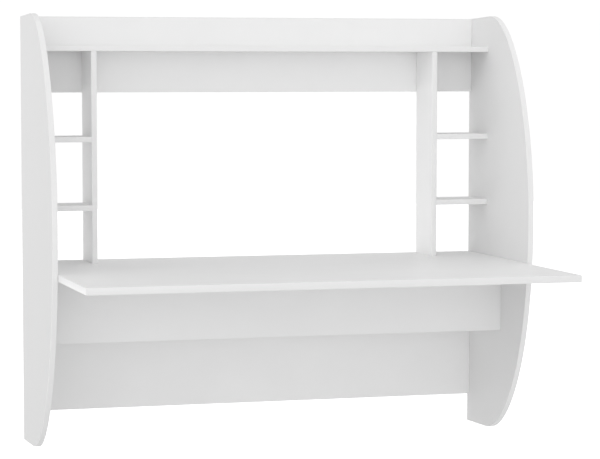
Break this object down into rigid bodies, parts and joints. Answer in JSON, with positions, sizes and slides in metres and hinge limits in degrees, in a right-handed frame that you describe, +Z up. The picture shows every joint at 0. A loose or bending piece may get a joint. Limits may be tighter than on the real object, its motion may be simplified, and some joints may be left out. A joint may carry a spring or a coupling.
{
  "type": "wall-mounted desk",
  "caption": "Wall-hung writing desk with a deep writing board, bowed side panels, a long shelf above, small side shelves, and back and modesty panels below.",
  "frame": {"origin": "middle of the upper back panel's rear face, on the wall plane, 0.860 m above the foot of the side panels", "axes": "+X to the right of someone facing the desk, +Y into the wall, +Z up"},
  "size_m": [1.07, 0.67, 0.9477],
  "materials": {
    "board_laminate": "white melamine laminate on particle board, satin, with a faint grained texture",
    "desktop_laminate": "white melamine laminate on particle board, satin, slightly worn smooth",
    "edge_band": "white edge banding strip, satin, with eased corners",
    "cam_zinc": "bare die-cast zinc, dull",
    "fitting_steel": "zinc-plated steel",
    "hanger_steel": "zinc-plated sheet steel",
    "dowel_beech": "plain fluted beech"
  },
  "bodies": {
    "root": {"cam_bolt_desktop_left": "fitting_steel", "cam_bolt_desktop_right": "fitting_steel", "cam_bolt_lower_back_left": "fitting_steel", "cam_bolt_lower_back_right": "fitting_steel", "cam_bolt_modesty_left": "fitting_steel", "cam_bolt_modesty_right": "fitting_steel", "cam_bolt_top_shelf_left": "fitting_steel", "cam_bolt_top_shelf_right": "fitting_steel", "cam_bolt_upper_back_left": "fitting_steel", "cam_bolt_upper_back_right": "fitting_steel", "cam_desktop_left": "cam_zinc", "cam_desktop_right": "cam_zinc", "cam_lower_back_left": "cam_zinc", "cam_lower_back_right": "cam_zinc", "cam_modesty_left": "cam_zinc", "cam_modesty_right": "cam_zinc", "cam_top_shelf_left": "cam_zinc", "cam_top_shelf_right": "cam_zinc", "cam_upper_back_left": "cam_zinc", "cam_upper_back_right": "cam_zinc", "desktop": "desktop_laminate", "desktop_front_band": "edge_band", "desktop_left_band": "edge_band", "desktop_right_band": "edge_band", "divider_left": "board_laminate", "divider_left_band": "edge_band", "divider_right": "board_laminate", "divider_right_band": "edge_band", "dowel_left_foot": "dowel_beech", "dowel_left_top": "dowel_beech", "dowel_right_foot": "dowel_beech", "dowel_right_top": "dowel_beech", "hanger_plate_left": "hanger_steel", "hanger_plate_right": "hanger_steel", "hanger_screw_left_inner": "hanger_steel", "hanger_screw_left_outer": "hanger_steel", "hanger_screw_right_inner": "hanger_steel", "hanger_screw_right_outer": "hanger_steel", "lower_back_panel": "board_laminate", "lower_back_panel_band": "edge_band", "modesty_panel": "board_laminate", "modesty_panel_band": "edge_band", "side_panel_left": "board_laminate", "side_panel_left_band": "edge_band", "side_panel_right": "board_laminate", "side_panel_right_band": "edge_band", "small_shelf_left_lower": "board_laminate", "small_shelf_left_lower_band": "edge_band", "small_shelf_left_upper": "board_laminate", "small_shelf_left_upper_band": "edge_band", "small_shelf_right_lower": "board_laminate", "small_shelf_right_lower_band": "edge_band", "small_shelf_right_upper": "board_laminate", "small_shelf_right_upper_band": "edge_band", "top_shelf": "board_laminate", "top_shelf_band": "edge_band", "upper_back_panel": "board_laminate", "upper_back_panel_lower_band": "edge_band", "upper_back_panel_upper_band": "edge_band"}
  },
  "joints": []
}
